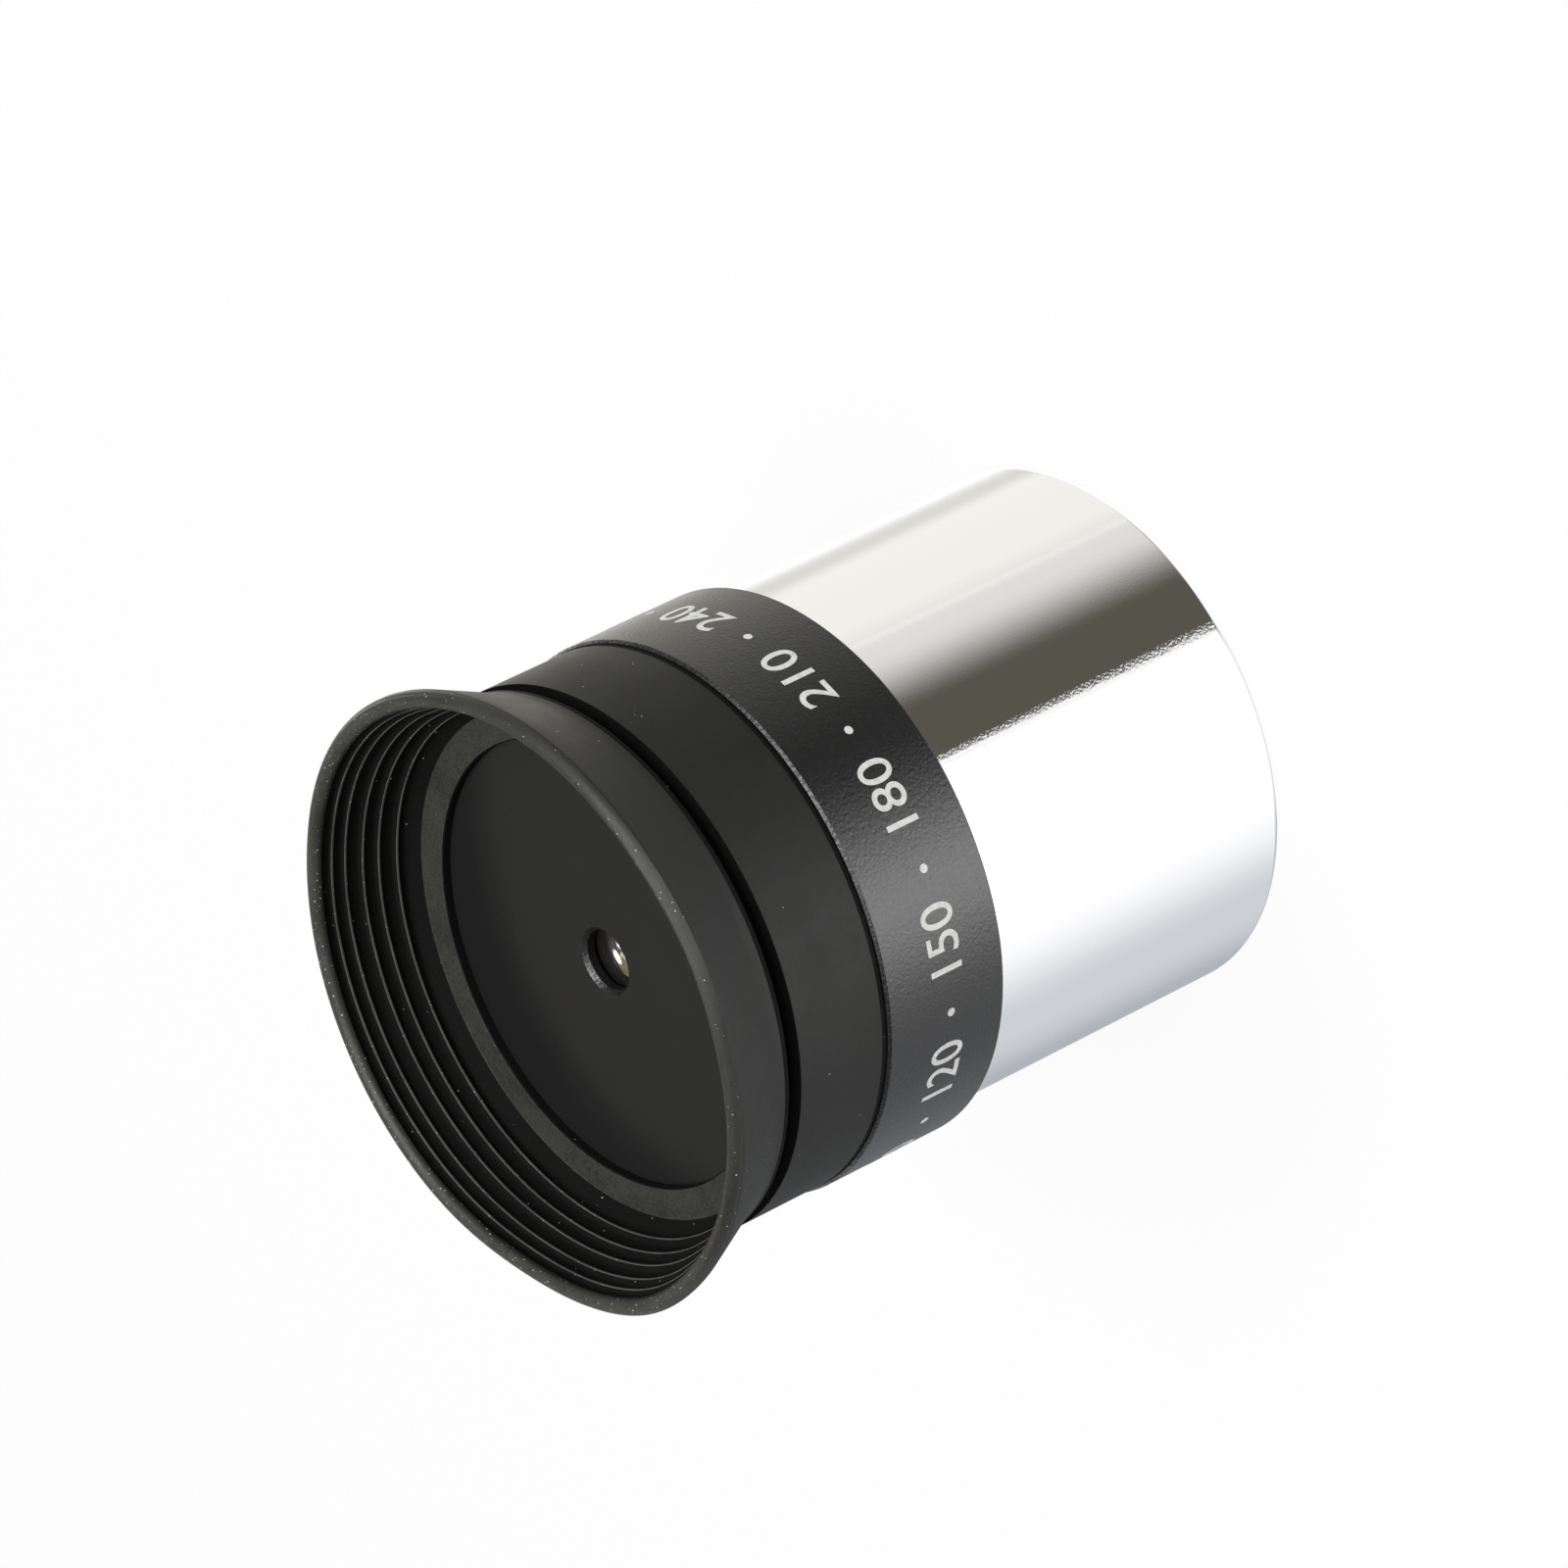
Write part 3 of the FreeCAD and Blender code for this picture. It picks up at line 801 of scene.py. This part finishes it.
def beyond(compass, rise, distance, start=aim_point):
    """The point at a distance from a start, by its compass angle and its rise in degrees."""
    a, e = math.radians(compass), math.radians(rise)
    towards = Vector((math.cos(a) * math.cos(e), math.sin(a) * math.cos(e), math.sin(e)))
    return Vector(start) + towards * distance


def blend_of(stops, at):
    """The level between the two stops on either side, each a position and a level."""
    for (low, first), (high, last) in zip(stops, stops[1:]):
        if at <= high:
            share = min(1, max(0, (at - low) / (high - low)))
            return first + (last - first) * share
    return stops[-1][1]


# White paper, which shines at the camera with a share of its own light, so that its shadow stays faint
paper = bpy.data.materials.new("white_table")
paper.use_nodes = True
tree = paper.node_tree
tree.nodes.remove(tree.nodes["Principled BSDF"])
rays = node(tree, "LightPath").outputs
share = node(tree, "Math", {0: rays["Is Camera Ray"], 1: rays["Is Transmission Ray"]}, operation="ADD",
             use_clamp=True)
share = node(tree, "Math", {0: share.outputs[0], 1: 1 - shadow_share}, operation="MULTIPLY")
matt = node(tree, "BsdfDiffuse", {"Color": linear("#d9d9d9")})
shine = node(tree, "Emission", {"Strength": 1.0})
mixed = node(tree, "MixShader", {0: share.outputs[0], 1: matt.outputs[0], 2: shine.outputs[0]})
tree.links.new(mixed.outputs[0], tree.nodes["Material Output"].inputs["Surface"])
data = bpy.data.meshes.new("table")
data.from_pydata([(-table_half, -table_half, 0), (table_half, -table_half, 0),
                  (table_half, table_half, 0), (-table_half, table_half, 0)], [], [(0, 1, 2, 3)])
data.materials.append(paper)
table = bpy.data.objects.new("table", data)
bpy.context.scene.collection.objects.link(table)
table.visible_glossy = False


# Band of cards below the table, which the upright chrome mirrors. It is laid out by the angle of the tube
# that shows it: a cool grey card, a soft box, a dark flag with one hard edge and one soft edge, a warm
# white wall, a narrow grey flag and a white card. Each fade is to a card's tone, between two angles.
band_distance = 1.2
band_low, band_high = -62.0, -8.0
mirror_height = 10.0
plate = linear(plate_grey)[0]
band_first, band_last = 181.0, 360.0
grey_card = "#a6aab0"
fades = [(190, 213, "#cbced2"), (217, 238, "#ffffff"), (277.0, 277.7, "#56534a"),
         (289, 303.5, "#dddcd8"), (304, 314, "#f0efe9"), (332, 338.5, "#d6d5cf"),
         (340, 351, "#ffffff"), (355, band_last, grey_card)]
box_middle = 257.0
box_half = 21.0
box_gain = 4.4
# The soft box's frame shows as a thin grey line, and a seam in the wall as a thin bright one
frame_at, frame_half, frame_gain = 276.4, 0.3, -0.32
seam_at, seam_half, seam_gain = 307.7, 1.0, 0.11
# More than level_reach degrees above or below the height that the upright chrome mirrors, the cards
# differ, which the ring and the rubber show. Each gain is given at an angle of the tube. Past near_reach
# the far ones count as well, and the tint warms the brightest.
level_reach, near_reach = 7, 14
side_gains = [(181, 0.7), (207, 1.0), (223, 0.8), (255, 1.1), (275, 0.8), (285, 1.3), (299, 0.6),
              (311, 0.55), (331, 1.7), (345, 4.8), (353, 4.6), (360, 1.5)]
far_gains = [(235, 1.0), (250, 0.6), (278, 0.6), (302, 1.0)]
warm_gain = 1.2
side_tint = (1.0, 0.98, 0.9)


def band_angle(share):
    """The angle of the tube for a share of the band's length."""
    return band_first + (band_last - band_first) * share


def card_seen_at(angle):
    """The colour of the cards that the tube shows at an angle round it."""
    colour = linear(grey_card)[:3]
    for start, end, code in fades:
        share = min(1, max(0, (angle - start) / (end - start)))
        share = share * share * (3 - 2 * share)
        colour = [a + (b - a) * share for a, b in zip(colour, linear(code))]
    gain = 1 / plate
    if abs(angle - box_middle) < box_half:
        gain *= 1 + box_gain * math.cos(math.pi / 2 * (angle - box_middle) / box_half) ** 2
    gain *= 1 + frame_gain * max(0, 1 - abs(angle - frame_at) / frame_half)
    gain *= 1 + seam_gain * max(0, 1 - abs(angle - seam_at) / seam_half)
    return [value * gain for value in colour]


def band_place(column, row):
    """Where the light that a point of the tube mirrors to the camera comes from."""
    turn = math.radians(band_angle(column))
    outward = Vector((math.cos(turn), math.sin(turn), 0))
    point = (outward * barrel_r + Vector((0, 0, mirror_height))) * MM
    sight = point - place_of_eye
    bounce = sight - 2 * sight.dot(outward) * outward
    compass = math.degrees(math.atan2(bounce.y, bounce.x))
    return beyond(compass, band_low + (band_high - band_low) * row, band_distance, point)


def band_colour(column, row):
    """The band's colour at a point, by how far it stands off the height that the chrome mirrors."""
    colour = card_seen_at(band_angle(column))
    off_level = abs(band_low + (band_high - band_low) * row + math.degrees(elevation))
    if off_level < level_reach:
        return colour
    gain = blend_of(side_gains, band_angle(column))
    if off_level > near_reach:
        gain *= blend_of(far_gains, band_angle(column))
    tints = side_tint if gain > warm_gain else (1, 1, 1)
    return [value * gain * tint for value, tint in zip(colour, tints)]


card("band_below", columns=716, rows=12, place_of=band_place, colour_of=band_colour)


# Tent overhead: a grey half-dome that keeps the black face and the rubber deep
tent_distance = 1.6
tent_low, tent_top = 14.0, 89.9
tent_grey = 0.2
card("tent", columns=48, rows=12,
     place_of=lambda column, row: beyond(360 * column, tent_low + (tent_top - tent_low) * row,
                                         tent_distance),
     colour_of=lambda column, row: (tent_grey,) * 3)

# Strip of light that the chamfers catch, on the camera's side
strip_distance = 1.3
strip_first, strip_last = 205.0, 358.0
strip_low, strip_high = 40.0, 57.0
strip_levels = [(0, 0.3), (0.25, 3.6), (0.66, 11.0), (0.85, 6.0), (1, 0.3)]
card("strip", columns=24, rows=1,
     place_of=lambda column, row: beyond(strip_first + (strip_last - strip_first) * column,
                                         strip_low + (strip_high - strip_low) * row, strip_distance),
     colour_of=lambda column, row: (blend_of(strip_levels, column),) * 3)

# A warm patch and three bulbs that the first lens mirrors: each is a round spot by its compass angle, its
# rise, its radius in degrees, its brightness and its colour
spots = [(96.0, 34.4, 4.6, 2.0, "#d8c79a"), (91.1, 32.6, 2.4, 12.0, "#fffdf4"),
         (86.9, 38.6, 1.45, 14.0, "#ffffff"), (92.6, 27.2, 0.8, 12.0, "#ffffff")]
spots_distance = 0.9
spots_compass, spots_rise = 91.0, 33.0
spots_narrowing = math.cos(math.radians(spots_rise))
spots_softness = 0.6
card_half = 13.0
first_glass = (0, 0, 0.036)


def spots_place(column, row):
    """A point of the square card that faces the first lens."""
    return beyond(spots_compass + card_half * (2 * column - 1) / spots_narrowing,
                  spots_rise + card_half * (2 * row - 1), spots_distance, first_glass)


def spots_colour(column, row):
    """The tent's grey, or the spot that stands there, its edge a little soft."""
    across = card_half * (2 * column - 1)
    rise = spots_rise + card_half * (2 * row - 1)
    level_of = [tent_grey] * 3
    for compass, height, size, level, code in spots:
        away = math.hypot(across - (compass - spots_compass) * spots_narrowing, rise - height)
        share = min(1, max(0, (size - away) / spots_softness + 0.5))
        level_of = [a + (level * b - a) * share for a, b in zip(level_of, linear(code)[:3])]
    return level_of


card("spots", columns=100, rows=100, place_of=spots_place, colour_of=spots_colour)


# Lamp: one square soft box high overhead, which lights what faces up and leaves the fins' gaps dark
lamp_compass, lamp_rise = 300, 76
lamp_distance = 0.6
lamp_width = 0.3
lamp_watts = 3.0
light = bpy.data.lights.new("overhead_box", "AREA")
light.size = lamp_width
light.energy = lamp_watts
lamp = bpy.data.objects.new("overhead_box", light)
bpy.context.scene.collection.objects.link(lamp)
lamp.location = beyond(lamp_compass, lamp_rise, lamp_distance)
away = beyond(lamp_compass, lamp_rise, 1) - beyond(0, 0, 0)
lamp.rotation_euler = away.to_track_quat("Z", "Y").to_euler()
